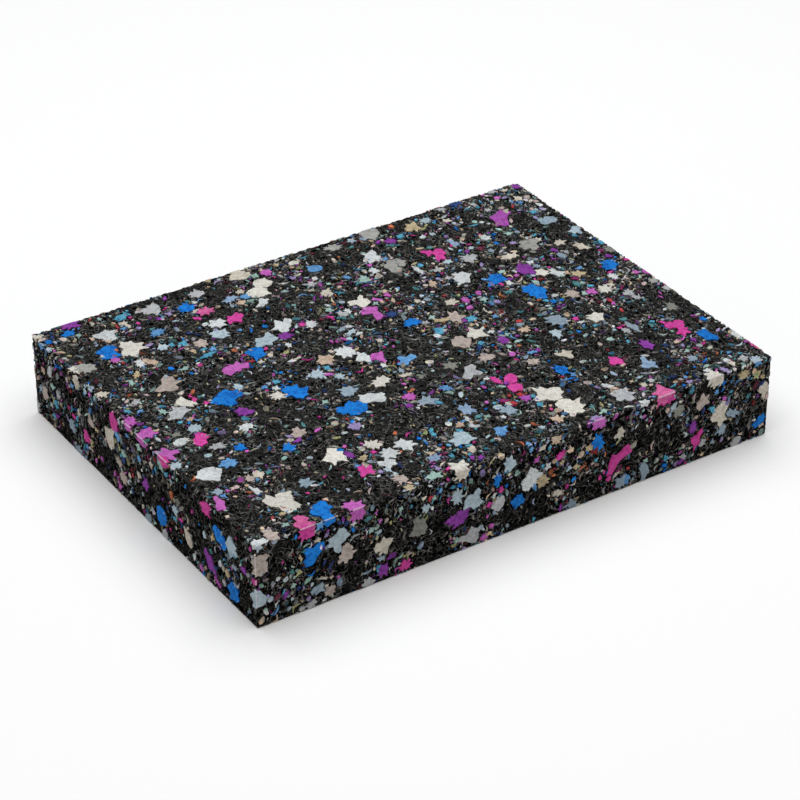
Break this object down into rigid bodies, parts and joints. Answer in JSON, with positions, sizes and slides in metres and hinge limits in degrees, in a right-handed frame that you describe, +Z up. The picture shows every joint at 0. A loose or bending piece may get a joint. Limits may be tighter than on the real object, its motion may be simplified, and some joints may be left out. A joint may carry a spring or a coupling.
{
  "type": "rebonded foam sheet",
  "caption": "Flat rectangular sheet of rebonded polyurethane foam: dark crumb with coloured chips, saw cut, for padding, damping and lining.",
  "frame": {"origin": "middle of the underside, on the floor that the sheet lies on", "axes": "+X along the longest side, +Y along the shorter side, +Z up through the thickness"},
  "size_m": [0.2, 0.1474, 0.031],
  "materials": {
    "rebonded_foam": "saw-cut rebonded polyurethane foam, charcoal crumb with jagged coloured chips, fully matt, open pores"
  },
  "bodies": {
    "root": {"foam_sheet": "rebonded_foam"}
  },
  "joints": []
}
